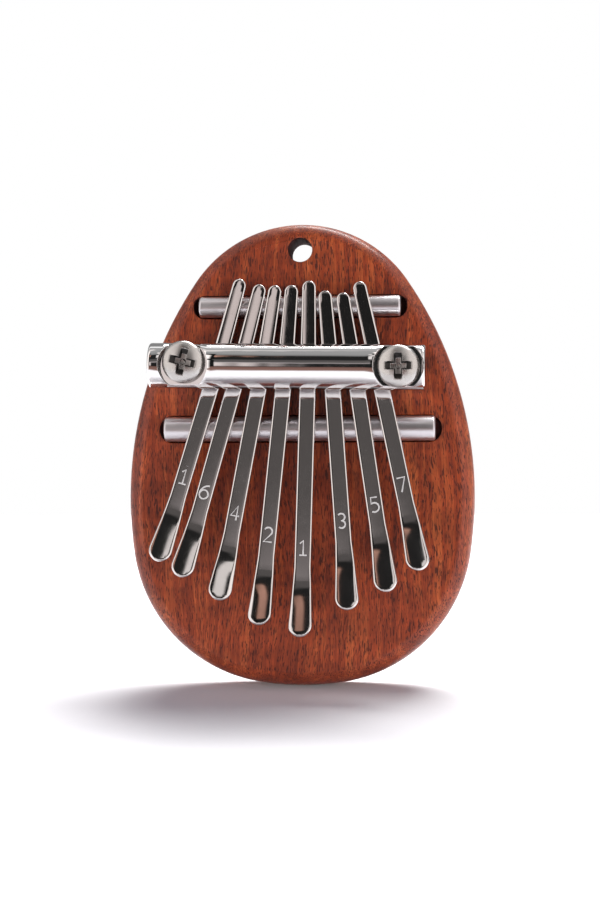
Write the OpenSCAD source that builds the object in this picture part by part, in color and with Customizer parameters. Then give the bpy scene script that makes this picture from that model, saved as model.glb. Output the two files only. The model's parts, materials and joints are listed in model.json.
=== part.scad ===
// Eight-note thumb piano: an egg-shaped hardwood board, two bridge rods let into
// its face, eight steel tines, and a round pressure bar held down by two screws.
// X runs across the board, the tines face -Y, and +Z points up to the hang hole.
// The origin is the centre of the hang hole, half way through the board.

/* [Board] */
// Height of the board
board_h = 88; // [70:0.5:110]
// Width of the board at its widest
board_w = 66; // [54:0.5:80]
// Thickness of the board
board_t = 10; // [9:0.5:14]
// Radius of the crown arc at the top
crown_r = 24.5; // [20:0.5:26]
// Height of the widest point above the bottom edge
widest_h = 36; // [32:0.5:42]
// Radius of the arcs at the lower corners
shoulder_r = 29; // [24:0.5:30]
// Radius of the shallow arc along the bottom edge
base_r = 56; // [48:1:90]
// Radius of the rounded front and back edges
edge_r = 3; // [0.5:0.1:4]

/* [Hang hole] */
// Diameter of the hang hole
hole_d = 4.6; // [3:0.1:6]
// Depth of the hole's centre below the top edge
hole_drop = 5.2; // [5:0.1:9]
// Size of the chamfer at both ends of the hole
hole_rim = 0.4; // [0.1:0.1:0.8]

/* [Bridge rods] */
// Diameter of the back rod, near the hang hole
back_rod_d = 4; // [3:0.1:5]
// Diameter of the front rod, which the notes sound from
front_rod_d = 4.7; // [3.5:0.1:6]
// Distance of the back rod below the hang hole
back_rod_drop = 10.9; // [9:0.1:14]
// Distance between the axes of the two rods
rod_spacing = 23.3; // [20:0.1:30]
// How far the back rod's axis stands above the board's face
back_rod_rise = 0.2; // [-0.5:0.1:1]
// How far the front rod's axis stands above the board's face
front_rod_rise = 1; // [0.4:0.1:1.8]
// Wood left between the end of the back groove and the board's edge
back_groove_inset = 3.2; // [1:0.1:8]
// Wood left between the end of the front groove and the board's edge
front_groove_inset = 5; // [1:0.1:10]
// Free space at each end of a rod in its groove
rod_end_gap = 1.2; // [0.2:0.1:3]
// Free space along each side of a rod in its groove
rod_side_gap = 0.2; // [0.05:0.05:0.6]
// Chamfer on the ends of the rods
rod_chamfer = 0.4; // [0.1:0.1:1]

/* [Pressure bar] */
// Diameter of the round pressure bar
bar_d = 8.5; // [7:0.1:11]
// Height of the bar's underside above the board's face
bar_lift = 3; // [2.7:0.1:3.4]
// Distance of the bar's axis below the back rod's axis
bar_drop = 12; // [10:0.1:14]
// Sideways place of the middle of the two screws
bar_shift = -0.9; // [-2:0.1:2]
// Length of the bar beyond the left screw's centre
bar_left_end = 6.7; // [5:0.1:9]
// Length of the bar beyond the right screw's centre
bar_right_end = 4.9; // [4.8:0.1:9]
// Skew of the bar, left end high
bar_skew = 0.8; // [-1.5:0.1:1.5]
// Diameter of the flat-bottomed seats for the screw heads
seat_d = 9.3; // [9:0.1:10]
// Depth of those seats below the top of the bar
seat_depth = 2.2; // [1:0.1:3]
// Diameter of the clearance holes for the screws
bar_hole_d = 5.2; // [5:0.1:6]
// Chamfer on the ends of the bar
bar_chamfer = 0.4; // [0.1:0.1:1]

/* [Screws] */
// Diameter of the screws
screw_d = 4; // [3:0.1:4.2]
// Depth of the screws in the board
screw_bite = 6.7; // [4:0.1:8]
// Diameter of the pan heads
head_d = 7.9; // [7:0.1:8.2]
// Height of the pan heads
head_h = 2.7; // [2:0.1:3.2]
// Height of the left screw above the bar's centre line
left_screw_lift = 0.5; // [0:0.1:0.5]
// Turn of the left screw's cross recess
left_screw_turn = 13; // [0:1:45]
// Reach of the cross recess across the head
recess_w = 4.8; // [3:0.1:6]
// Width of the arms of the cross recess
recess_arm = 1; // [0.6:0.1:1.6]
// Depth of the cross recess
recess_depth = 1.5; // [0.5:0.1:2]
// Clearance around a screw in the wood
pilot_gap = 0.05; // [0:0.05:0.2]
// Space beside the bank of tines at each screw
screw_side_gap = 1.2; // [0.8:0.1:4]

/* [Tines] */
// Distance between neighbouring tines under the bar
tine_pitch = 4.36; // [4.2:0.02:5.6]
// Sideways place of the middle of the bank of tines
tine_shift = -0.4; // [-0.7:0.1:2]
// Width of a tine between the bar and its flare
tine_w = 3.15; // [2.4:0.05:3.3]
// Width of a tine at its back end
tail_w = 2.65; // [2:0.05:2.7]
// Width of the rounded playing tip
tip_w = 4.4; // [3.2:0.1:4.6]
// Thickness of the tine strip
tine_t = 1; // [0.6:0.05:1.2]
// Length of the flare, up to the end of the tip
flare_l = 12.5; // [11:0.5:15]
// Length of the upturned tip
tip_l = 8.6; // [5:0.1:10]
// Upward bend of the tip
tip_bend = 14; // [5:1:25]
// Running gap between a tine and the rods and bar
tine_gap = 0.12; // [0.1:0.01:0.2]
// Least play left between the bar and the steepest tine
bar_play = 0.01; // [0:0.005:0.05]
// Free length of each tine from the front rod to its end, left to right
free_l = [25.9, 28.8, 32.6, 36.8, 38.8, 34, 30.9, 27.2]; // [20:0.1:45]
// Length of each tine behind the back rod
tail_l = [5.2, 4.1, 3.8, 3.8, 4.6, 2.7, 2.3, 4.4]; // [2:0.1:6]
// Lean of each tine from upright, top to the right
lean = [15.6, 14.5, 9.5, 4.9, 0.9, -4.6, -8.8, -12.1]; // [-16:0.1:16]

/* [Hidden] */
$fn = 64;
cut = 0.1;              // how far a cutter runs past the face it opens
rim_steps = 2.4;        // facets round the rim for each millimetre of an arc's radius
wood = "#84402a";
steel = "#9a9797";
satin = "#b9b4b8";
chrome = "#d8d6d6";

face = board_t / 2;                         // height of the board's face, towards the player
half_w = board_w / 2;
top_z = hole_drop;
bottom_z = top_z - board_h;
shoulder = min(shoulder_r, half_w - 3);     // the corner arcs stay inside half the width

// The egg is six arcs that meet in tangents: crown, two sides, two shoulders and base.
// The centres are given as [x, height above the bottom edge].
crown_c = [0, board_h - crown_r];
side_rise = crown_c.y - widest_h;
side_r = (half_w ^ 2 + side_rise ^ 2 - crown_r ^ 2) / (2 * (half_w - crown_r));
side_c = [half_w - side_r, widest_h];
base_c = [0, base_r];
shoulder_c = meet(side_c, side_r - shoulder, base_c, base_r - shoulder);
crown_a = bearing(side_c, crown_c);
side_a = bearing(side_c, shoulder_c);
base_a = bearing(base_c, shoulder_c);

back_rod_z = -back_rod_drop;
front_rod_z = back_rod_z - rod_spacing;
bar_z = back_rod_z - bar_drop;
back_rod_y = -(face + back_rod_rise);
front_rod_y = -(face + front_rod_rise);
bar_y = -(face + bar_lift + bar_d / 2);
back_groove_l = 2 * (edge_x(back_rod_z) - back_groove_inset);
front_groove_l = 2 * (edge_x(front_rod_z) - front_groove_inset);

tines = len(lean);
bank_w = (tines - 1) * tine_pitch + tine_w;
screw_x = bank_w / 2 + screw_side_gap + screw_d / 2;
seat_h = bar_lift + bar_d - seat_depth;     // heights above the board's face
seat_y = -(face + seat_h);
screw_l = seat_h + screw_bite;

// Direction from one point to another
function bearing(a, b) = atan2(b.y - a.y, b.x - a.x);

// Where a circle of radius ra about a meets one of radius rb about b, on the side of +X below
function meet(a, ra, b, rb) =
    let (gap = norm(b - a), along = (ra ^ 2 - rb ^ 2 + gap ^ 2) / (2 * gap),
         across = sqrt(ra ^ 2 - along ^ 2), u = (b - a) / gap)
    a + along * u + across * [u.y, -u.x];

// Half the board's width at height z, on the crown or side arc
function edge_x(z) =
    let (h = z - bottom_z, join = side_c.y + side_r * sin(crown_a))
    h > join ? sqrt(crown_r ^ 2 - (h - crown_c.y) ^ 2)
             : side_c.x + sqrt(side_r ^ 2 - (h - side_c.y) ^ 2);

// Slope at which a strip leaves the bar, run away and drop below a rod, to lie on the rod
function slope(run, axis_h, reach) = atan2(axis_h, run) + asin(reach / norm([run, axis_h]));

// A strip that leans and rises in front of the bar comes closer to it beside its crossing, so the
// gap under the bar grows once the slope needs more than tine_gap.
steepest = slope(bar_z - front_rod_z, front_rod_rise - (bar_lift - tine_gap - tine_t / 2),
                 front_rod_d / 2 + tine_gap + tine_t / 2);
bar_reach = bar_d / 2 * (1 / cos(steepest) - 1) + tine_w / 2 * sin(max(lean)) * tan(steepest);
strip_h = bar_lift - max(tine_gap, bar_reach + bar_play) - tine_t / 2;

// Points moved to one side of a path by d, with mitred corners
function beside(path, d) = [
    for (i = [0 : len(path) - 1])
        let (before = bearing(path[max(i - 1, 0)], path[max(i, 1)]),
             after = bearing(path[min(i, len(path) - 2)], path[min(i + 1, len(path) - 1)]),
             turn = (before + after) / 2, reach = d / cos((after - before) / 2))
        path[i] + reach * [-sin(turn), cos(turn)]
];

// ---- board ----

// The rounded rim along an arc of radius r about c, from angle a0 to a1
module rim_sector(c, r, a0, a1) {
    translate([c.x, c.y, 0])
        rotate([0, 0, a0])
            rotate_extrude(angle = a1 - a0, $fn = ceil(r * rim_steps))
                for (side = [-1, 1])
                    translate([r - edge_r, side * (board_t / 2 - edge_r)])
                        circle(r = edge_r, $fn = 24);
}

module egg() {
    rotate([90, 0, 0])
        translate([0, bottom_z, 0])
            hull() {
                rim_sector(crown_c, crown_r, crown_a, 180 - crown_a);
                rim_sector(base_c, base_r, -180 - base_a, base_a);
                for (side = [0, 1])
                    mirror([side, 0, 0]) {
                        rim_sector(side_c, side_r, side_a, crown_a);
                        rim_sector(shoulder_c, shoulder, base_a, side_a);
                    }
            }
}

// Round-ended groove that a rod of diameter d lies in, its axis rise above the face
module groove(z, length, d, rise) {
    width = d + 2 * rod_side_gap;
    depth = d / 2 - rise;
    straight = length - width;
    translate([0, -(face - depth), z])
        rotate([90, 0, 0]) {
            translate([-straight / 2, -width / 2, 0])
                cube([straight, width, depth + cut]);
            for (side = [-1, 1])
                translate([side * straight / 2, 0, 0])
                    cylinder(d = width, h = depth + cut);
        }
}

module hang_hole() {
    rotate([90, 0, 0]) {
        cylinder(d = hole_d, h = board_t + 2 * cut, center = true);
        for (side = [0, 1])
            mirror([0, 0, side])
                translate([0, 0, face - hole_rim])
                    cylinder(d1 = hole_d, d2 = hole_d + 2 * (hole_rim + cut), h = hole_rim + cut);
    }
}

module board() {
    color(wood)
        difference() {
            egg();
            hang_hole();
            groove(back_rod_z, back_groove_l, back_rod_d, back_rod_rise);
            groove(front_rod_z, front_groove_l, front_rod_d, front_rod_rise);
            for (side = [-1, 1])
                at_screw(side)
                    screw_shank(screw_d + 2 * pilot_gap, screw_l + pilot_gap);
        }
}

// ---- bridge rods ----

// A bar along X with chamfered ends, from x0 to x1
module chamfered_bar(x0, x1, d, chamfer) {
    translate([x0, 0, 0])
        rotate([0, 90, 0]) {
            cylinder(d1 = d - 2 * chamfer, d2 = d, h = chamfer);
            translate([0, 0, chamfer])
                cylinder(d = d, h = x1 - x0 - 2 * chamfer);
            translate([0, 0, x1 - x0 - chamfer])
                cylinder(d1 = d, d2 = d - 2 * chamfer, h = chamfer);
        }
}

module bridge_rod(y, z, groove_l, d) {
    end = groove_l / 2 - rod_end_gap;
    color(satin)
        translate([0, y, z])
            chamfered_bar(-end, end, d, rod_chamfer);
}

module back_bridge_rod() {
    bridge_rod(back_rod_y, back_rod_z, back_groove_l, back_rod_d);
}

module front_bridge_rod() {
    bridge_rod(front_rod_y, front_rod_z, front_groove_l, front_rod_d);
}

// ---- pressure bar and screws ----

// Moves its children to a screw's seat in the bar, with the screw's axis along +Z to the player
module at_screw(side) {
    lift = side < 0 ? left_screw_lift : 0;
    skew_z = -side * screw_x * sin(bar_skew);
    translate([bar_shift + side * screw_x * cos(bar_skew), seat_y, bar_z + skew_z + lift])
        rotate([90, 0, 0])
            children();
}

// The plain shank below the seat, with a pointed end
module screw_shank(d, length) {
    point = d / 2;
    translate([0, 0, point - length])
        cylinder(d = d, h = length - point);
    translate([0, 0, -length])
        cylinder(d1 = 0.5, d2 = d, h = point);
}

module pressure_bar() {
    color(chrome)
        translate([bar_shift, bar_y, bar_z])
            rotate([0, bar_skew, 0])
                difference() {
                    chamfered_bar(-screw_x - bar_left_end, screw_x + bar_right_end, bar_d, bar_chamfer);
                    for (side = [-1, 1])
                        translate([side * screw_x, seat_y - bar_y, 0])
                            rotate([90, 0, 0]) {
                                cylinder(d = seat_d, h = seat_depth + cut);
                                translate([0, 0, -bar_d])
                                    cylinder(d = bar_hole_d, h = bar_d + cut);
                            }
                }
}

// Domed pan head: a straight edge under a shallow dome, both turned as one profile
module pan_head() {
    rim_h = head_h / 2;
    dome_r = ((head_d / 2) ^ 2 + (head_h - rim_h) ^ 2) / (2 * (head_h - rim_h));
    intersection() {
        cylinder(d = head_d, h = head_h + cut);
        translate([0, 0, head_h - dome_r])
            sphere(r = dome_r);
    }
}

module screw(side, turn) {
    color(steel)
        at_screw(side)
            rotate([0, 0, -turn]) {
                difference() {
                    pan_head();
                    for (arm = [0, 90])
                        rotate([0, 0, arm])
                            translate([-recess_w / 2, -recess_arm / 2, head_h - recess_depth])
                                cube([recess_w, recess_arm, recess_depth + cut]);
                }
                screw_shank(screw_d, screw_l);
            }
}

module left_screw() {
    screw(-1, left_screw_turn);
}

module right_screw() {
    screw(1, 0);
}

// ---- tines ----

// Outline of a tine seen from the front, lying along Y with the bar at 0 and the tip at -front
module tine_outline(back, front) {
    tail_y = back - tail_w / 2;
    tip_y = tip_w / 2 - front;
    flare_y = flare_l - front;
    translate([0, tail_y])
        circle(d = tail_w);
    polygon([
        [-tail_w / 2, tail_y], [-tine_w / 2, 0], [-tine_w / 2, flare_y], [-tip_w / 2, tip_y],
        [tip_w / 2, tip_y], [tine_w / 2, flare_y], [tine_w / 2, 0], [tail_w / 2, tail_y]
    ]);
    translate([0, tip_y])
        circle(d = tip_w);
}

// Side view of the strip as [distance from the bar, height above the strip under the bar]
module tine_side(back_run, back, front_run, front) {
    reach = tine_t / 2 + tine_gap;
    up = slope(back_run, back_rod_rise - strip_h, back_rod_d / 2 + reach);
    down = slope(front_run, front_rod_rise - strip_h, front_rod_d / 2 + reach);
    crease = front - tip_l;
    crease_h = crease * tan(down);
    path = [
        [-back - cut, (back + cut) * tan(up)],
        [0, 0],
        [crease, crease_h],
        [front + cut, crease_h + (tip_l + cut) * tan(down + tip_bend)]
    ];
    polygon(concat(beside(path, tine_t / 2), reverse(beside(path, -tine_t / 2))));
}

function reverse(list) = [for (i = [len(list) - 1 : -1 : 0]) list[i]];

module tine(i) {
    tilt = lean[i];
    x = tine_shift + (i - (tines - 1) / 2) * tine_pitch;
    z = bar_z - (x - bar_shift) * tan(bar_skew);
    back_run = (back_rod_z - z) / cos(tilt);
    front_run = (z - front_rod_z) / cos(tilt);
    back = back_run + tail_l[i];
    front = front_run + free_l[i];
    color(steel)
        translate([x, -(face + strip_h), z])
            rotate([0, tilt, 0])
                intersection() {
                    rotate([90, 0, 0])
                        linear_extrude(height = 3 * bar_d, center = true)
                            tine_outline(back, front);
                    rotate([0, 90, 0])
                        linear_extrude(height = 2 * tip_w, center = true)
                            mirror([0, 1])
                                tine_side(back_run, back, front_run, front);
                }
}

module tine_high_c() { tine(0); }
module tine_a() { tine(1); }
module tine_f() { tine(2); }
module tine_d() { tine(3); }
module tine_low_c() { tine(4); }
module tine_e() { tine(5); }
module tine_g() { tine(6); }
module tine_b() { tine(7); }

board();
back_bridge_rod();
front_bridge_rod();
pressure_bar();
left_screw();
right_screw();
tine_high_c();
tine_a();
tine_f();
tine_d();
tine_low_c();
tine_e();
tine_g();
tine_b();
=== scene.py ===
"""Builds the finished look of an eight-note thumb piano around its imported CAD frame.

The board, rods, bar, screws and tines are modelled in the frame's own coordinates:
X across the board, -Y towards the player, +Z up to the hang hole.
"""

import json
import math

import bmesh
import bpy
from bpy.props import FloatProperty, FloatVectorProperty, PointerProperty
from mathutils import Matrix, Vector


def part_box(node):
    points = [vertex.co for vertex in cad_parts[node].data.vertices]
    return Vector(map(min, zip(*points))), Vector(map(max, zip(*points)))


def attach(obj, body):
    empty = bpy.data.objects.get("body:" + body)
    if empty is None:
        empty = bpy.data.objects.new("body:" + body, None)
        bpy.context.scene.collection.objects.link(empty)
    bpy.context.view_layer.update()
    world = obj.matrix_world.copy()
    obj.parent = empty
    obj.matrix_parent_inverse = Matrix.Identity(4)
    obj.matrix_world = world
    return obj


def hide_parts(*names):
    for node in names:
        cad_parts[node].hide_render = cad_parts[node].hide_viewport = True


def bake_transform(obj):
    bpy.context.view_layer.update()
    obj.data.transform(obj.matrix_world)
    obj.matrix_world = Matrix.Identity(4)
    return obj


bl_info = {
    "name": "Thumb piano",
    "version": (1, 0, 0),
    "blender": (4, 5, 0),
    "location": "3D View > Sidebar > Thumb piano",
    "description": "Models an egg-shaped thumb piano with eight steel tines",
    "category": "Add Mesh",
}

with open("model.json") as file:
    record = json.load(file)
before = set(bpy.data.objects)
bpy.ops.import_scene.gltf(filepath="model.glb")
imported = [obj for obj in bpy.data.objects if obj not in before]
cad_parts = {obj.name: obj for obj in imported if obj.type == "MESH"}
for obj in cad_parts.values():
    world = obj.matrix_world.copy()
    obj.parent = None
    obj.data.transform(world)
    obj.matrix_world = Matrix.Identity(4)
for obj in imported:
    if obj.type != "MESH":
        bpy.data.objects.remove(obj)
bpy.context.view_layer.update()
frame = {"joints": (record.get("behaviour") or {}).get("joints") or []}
MM = 0.001
TOUCH = 0.000002    # points nearer than this are one point
FLAT = 1e-7         # edges that level lie in one plane

# Each tine, left to right: node, note, dots above the note, free length, length behind the
# back rod, lean from upright, how far its number stands from the tip, and how far its
# hand-bent tip and its tail roll to the right.
TINES = (
    ("tine_high_c", "1", 1, 25.9, 5.2, 15.6, 16.3, 1.5, -1.9),
    ("tine_a", "6", 0, 28.8, 4.1, 14.5, 16.3, 2.0, -1.9),
    ("tine_f", "4", 0, 32.6, 3.8, 9.5, 16.3, 7.0, -1.6),
    ("tine_d", "2", 0, 36.8, 3.8, 4.9, 16.6, -4.6, 1.8),
    ("tine_low_c", "1", 0, 38.8, 4.6, 0.9, 16.2, -2.6, 1.0),
    ("tine_e", "3", 0, 34.0, 2.7, -4.6, 16.4, 3.4, 3.5),
    ("tine_g", "5", 0, 30.9, 2.3, -8.8, 16.2, 4.2, 3.5),
    ("tine_b", "7", 0, 27.2, 4.4, -12.1, 16.1, 6.2, 3.0),
)

# The strokes of each number, in parts of its height about its middle. Each stroke is a start,
# then a point for a straight line or a point and a turn in degrees for an arc about the point.
STROKES = {
    "1": (((-0.2, 0.3), (0.03, 0.5), (0.03, -0.5)), ((-0.23, -0.5), (0.28, -0.5))),
    "2": (((-0.26, 0.34), (-0.01, 0.22, -190), (-0.29, -0.5), (0.29, -0.5)),),
    "3": (((-0.22, 0.41), (-0.03, 0.25, -230), (-0.03, -0.25, -230)),),
    "4": (((0.12, -0.5), (0.12, 0.5), (-0.3, -0.2), (0.3, -0.2)),),
    "5": (((0.24, 0.5), (-0.2, 0.5), (-0.22, 0.06), (-0.03, -0.2, -250)),),
    "6": (((0.24, 0.46), (0.28, -0.16, 88), (-0.03, -0.19, 360)),),
    "7": (((-0.28, 0.5), (0.28, 0.5), (-0.1, -0.5)),),
}
DOT = ((0.03, 0.76), (0.03, 0.78))


# ---- sizes and colours that a user would change ----

def length(name, description, default):
    """A length property in metres, from a default in millimetres."""
    return FloatProperty(name=name, description=description, default=default * MM,
                         unit="LENGTH", subtype="DISTANCE", precision=5)


def angle(name, description, degrees):
    """An angle property, from a default in degrees."""
    return FloatProperty(name=name, description=description, default=math.radians(degrees),
                         unit="ROTATION", subtype="ANGLE")


def colour(name, description, default):
    """A linear colour property."""
    return FloatVectorProperty(name=name, description=description, default=default,
                               size=3, min=0, max=1, subtype="COLOR")


def factor(name, description, default):
    """A share between 0 and 1."""
    return FloatProperty(name=name, description=description, default=default,
                         min=0, max=1, subtype="FACTOR")


def node_size(node, axis):
    """A CAD node's size along one axis, in millimetres."""
    low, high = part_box(node)
    return (high[axis] - low[axis]) / MM


def node_middle(node, axis):
    """The middle of a CAD node along one axis, in millimetres."""
    low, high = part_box(node)
    return (high[axis] + low[axis]) / 2 / MM


class BoardSizes(bpy.types.PropertyGroup):
    """Sizes of the wooden board."""
    height: length("Height", "Height of the board", node_size("board", 2))
    width: length("Width", "Width of the board at its widest", node_size("board", 0))
    thickness: length("Thickness", "Thickness of the board", node_size("board", 1))
    crown: length("Crown radius", "Radius of the arc at the top", 24.5)
    widest: length("Widest height", "Height of the widest point above the bottom", 36)
    shoulder: length("Shoulder radius", "Radius of the arcs at the lower corners", 29)
    base: length("Base radius", "Radius of the shallow arc at the bottom", 56)
    edge: length("Edge radius", "Radius of the rounded front and back edges", 3)
    hole: length("Hang hole", "Diameter of the hang hole", 4.6)
    back_groove: length("Back groove", "Length of the back rod's groove", 40.8)
    front_groove: length("Front groove", "Length of the front rod's groove", 53.8)
    groove_gap: length("Groove gap", "Free space along each side of a rod", 0.2)
    softness: length("Softened rims", "Rounding of the rims of grooves and holes", 0.22)


class MetalSizes(bpy.types.PropertyGroup):
    """Sizes of the rods, the bar and the screws."""
    rod_chamfer: length("Rod chamfer", "Rounding of the rods' ends", 0.45)
    bar_chamfer: length("Bar chamfer", "Rounding of the bar's ends", 0.45)
    bar_skew: angle("Bar skew", "Skew of the bar, left end high", 0.8)
    seat: length("Screw seat", "Diameter of the flat-bottomed seats in the bar", 9.3)
    seat_depth: length("Seat depth", "Depth of the seats below the bar's top", 2.2)
    bar_hole: length("Bar hole", "Diameter of the clearance holes in the bar", 5.2)
    head: length("Screw head", "Diameter of the pan heads", 7.9)
    head_height: length("Head height", "Height of the pan heads", 2.7)
    shank: length("Screw diameter", "Diameter of the screws", 4)
    recess: length("Recess reach", "Reach of the cross recess across the head", 4.9)
    recess_arm: length("Recess arm", "Width of the recess's arms at the top", 1.5)
    recess_depth: length("Recess depth", "Depth of the recess", 1.5)
    left_turn: angle("Left recess turn", "Turn of the left screw's cross recess", 13)


class TineSizes(bpy.types.PropertyGroup):
    """Sizes of the steel tines."""
    width: length("Width", "Width of a tine between the bar and its flare", 3.15)
    tail: length("Tail width", "Width of a tine at its back end", 2.65)
    tip: length("Tip width", "Width of the rounded playing tip", 4.4)
    thickness: length("Thickness", "Thickness of the strip", 1)
    flare: length("Flare length", "Length of the flare, up to the end of the tip", 12.5)
    upturn: length("Upturn length", "Length of the upturned tip", 8.6)
    bend: angle("Tip bend", "Upward bend of the tip", 14)
    gap: length("Running gap", "Gap between a tine and the rods and bar", 0.12)
    edge: length("Edge radius", "Radius of the tumbled edges", 0.34)
    strip_crown: length("Strip crown", "Rise of the strip's middle over its sides", 0.04)
    crown: length("Tip crown", "Further rise of the tip's middle over its sides", 0.05)
    tail_crown: length("Tail crown", "Further rise of the tail's middle over its sides", 0.09)
    number: length("Number height", "Height of the etched numbers", 2.7)
    stroke: length("Stroke width", "Width of the etched strokes", 0.3)


class Finishes(bpy.types.PropertyGroup):
    """Colours and gloss of the materials."""
    wood_dark: colour("Dark grain", "Darkest streaks of the wood", (0.088, 0.0135, 0.006))
    wood_mid: colour("Middle grain", "Main colour of the wood", (0.225, 0.036, 0.0115))
    wood_light: colour("Light grain", "Lightest bands of the wood", (0.42, 0.098, 0.029))
    # the pore colour is also the dark tint of the painted shade in the grooves and the hang hole
    pore_and_bore_shade: colour("Pores", "Colour in the open pores", (0.022, 0.006, 0.005))
    chrome: colour("Chrome", "Colour of the plated bar", (0.80, 0.79, 0.79))
    steel: colour("Spring steel", "Colour of the tines", (0.66, 0.635, 0.625))
    satin: colour("Rod steel", "Colour of the rods", (0.62, 0.60, 0.62))
    nickel: colour("Nickel", "Colour of the screws", (0.5, 0.485, 0.47))
    etch: colour("Etched numbers", "Colour of the etched strokes", (0.62, 0.60, 0.59))
    wood_rough: factor("Wood roughness", "Roughness of the oiled surface", 0.42)


class StageSettings(bpy.types.PropertyGroup):
    """The camera and the studio."""
    distance: FloatProperty(name="Distance", description="From the camera to the board's face",
                            default=0.3898, unit="LENGTH", subtype="DISTANCE")
    azimuth: angle("Azimuth", "Turn of the camera to the right of the board's face", 5.3)
    elevation: angle("Elevation", "Height of the camera over the aim point", -2.4)
    lens: FloatProperty(name="Lens", description="Focal length of the camera", default=82.16,
                        unit="CAMERA")
    aim: FloatVectorProperty(name="Aim", description="Point in the middle of the view",
                             default=(0, -0.005, -0.0382), subtype="TRANSLATION")
    lean: angle("Lean", "How far the floor tips so that the board leans back", 8)
    light: FloatProperty(name="Light", description="Strength of the lights", default=1.0)


# ---- modelling helpers ----

def clear_selection():
    """Leaves edit mode and deselects everything."""
    if bpy.context.object and bpy.context.object.mode != "OBJECT":
        bpy.ops.object.mode_set(mode="OBJECT")
    bpy.ops.object.select_all(action="DESELECT")


def only(piece):
    """Selects one object and makes it active."""
    clear_selection()
    piece.select_set(True)
    bpy.context.view_layer.objects.active = piece


def added(name):
    """Names the primitive that was just added and returns it."""
    piece = bpy.context.object
    piece.name = name
    piece.data.name = name
    return piece


def edit(mode="VERT"):
    """Enters edit mode on the active object, in one select mode."""
    bpy.ops.object.mode_set(mode="EDIT")
    bpy.ops.mesh.select_mode(type=mode)


def select_where(kind, test):
    """In edit mode, selects only the vertices, edges or faces that pass a test."""
    bpy.ops.mesh.select_all(action="DESELECT")
    mesh = bpy.context.object.data
    shape = bmesh.from_edit_mesh(mesh)
    for part in getattr(shape, kind):
        if test(part):
            part.select_set(True)
    shape.select_flush_mode()
    bmesh.update_edit_mesh(mesh)


def lone_point(name, place):
    """A new object with a single vertex, selected in edit mode."""
    clear_selection()
    bpy.ops.mesh.primitive_plane_add(size=0.001, location=place)
    piece = added(name)
    bpy.ops.object.transform_apply(location=True, rotation=True, scale=True)
    edit()
    bpy.ops.mesh.select_all(action="SELECT")
    bpy.ops.mesh.merge(type="CENTER")
    return piece


def draw_to(step):
    """Extends the outline from its selected end by a straight step."""
    bpy.ops.mesh.extrude_vertices_move(TRANSFORM_OT_translate={"value": step})


def draw_arc(centre, turn, axis, steps):
    """Extends the outline from its selected end along an arc, right-handed about the axis."""
    bpy.ops.mesh.spin(steps=steps, angle=-turn, center=centre, axis=axis)


def modify(piece, kind, **settings):
    """Adds a modifier, applies it and leaves the piece selected."""
    only(piece)
    modifier = piece.modifiers.new(kind.title(), kind)
    for key, value in settings.items():
        setattr(modifier, key, value)
    bpy.ops.object.modifier_apply(modifier=modifier.name)


def mirror_half(piece):
    """Mirrors a half outline across X and closes it at the middle."""
    modify(piece, "MIRROR", use_axis=(True, False, False), use_clip=True, merge_threshold=0.00001)


def cut_with(piece, cutter, operation="DIFFERENCE"):
    """Applies a boolean with the cutter, which is used up."""
    modify(piece, "BOOLEAN", operation=operation, object=cutter, solver="EXACT")
    bpy.data.objects.remove(cutter, do_unlink=True)


def soften(piece, width, segments=3, sharper_than=40):
    """Rounds every rim that is sharper than an angle."""
    modify(piece, "BEVEL", width=width, segments=segments, limit_method="ANGLE",
           angle_limit=math.radians(sharper_than), use_clamp_overlap=False, loop_slide=False)


def outward():
    """In edit mode, merges doubles and points every face outwards."""
    bpy.ops.mesh.select_all(action="SELECT")
    bpy.ops.mesh.remove_doubles(threshold=TOUCH)
    bpy.ops.mesh.normals_make_consistent(inside=False)


def finish(piece, material, body, slot, *nodes, smooth=35):
    """Smooths a finished piece, gives it its material and its place in the frame."""
    only(piece)
    bpy.ops.object.transform_apply(location=True, rotation=True, scale=True)
    bpy.ops.object.shade_smooth_by_angle(angle=math.radians(smooth))
    if not piece.data.materials:
        piece.data.materials.append(material)
    if body:
        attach(piece, body)
    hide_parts(*nodes)
    return piece


def round_bar(name, radius, x_low, x_high, y, z, chamfer, sides):
    """A round bar along X with rounded ends."""
    clear_selection()
    bpy.ops.mesh.primitive_cylinder_add(
        vertices=sides, radius=radius, depth=x_high - x_low,
        location=((x_low + x_high) / 2, y, z), rotation=(0, math.pi / 2, 0))
    bar = added(name)
    bpy.ops.object.transform_apply(location=True, rotation=True, scale=True)
    edit("EDGE")
    select_where("edges", lambda e: abs(e.verts[0].co.x - e.verts[1].co.x) < FLAT)
    bpy.ops.mesh.bevel(offset=chamfer, segments=4, affect="EDGES")
    bpy.ops.object.mode_set(mode="OBJECT")
    return bar


def peg(name, radius, place, depth, sides=48, tip_radius=None):
    """A cylinder or cone along Y, from place back into the board by depth."""
    clear_selection()
    middle = Vector(place) + Vector((0, depth / 2, 0))
    bpy.ops.mesh.primitive_cone_add(
        vertices=sides, radius1=radius, radius2=radius if tip_radius is None else tip_radius,
        depth=depth, location=middle, rotation=(-math.pi / 2, 0, 0))
    piece = added(name)
    bpy.ops.object.transform_apply(location=True, rotation=True, scale=True)
    return piece


# ---- the board ----

def bearing(a, b):
    """Direction from one point to another."""
    return math.atan2(b[1] - a[1], b[0] - a[0])


def meet(a, reach_a, b, reach_b):
    """Where two circles meet, on the side of +X below."""
    a, b = Vector(a), Vector(b)
    gap = (b - a).length
    along = (reach_a ** 2 - reach_b ** 2 + gap ** 2) / (2 * gap)
    across = math.sqrt(reach_a ** 2 - along ** 2)
    unit = (b - a) / gap
    return a + along * unit + across * Vector((unit.y, -unit.x))


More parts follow.
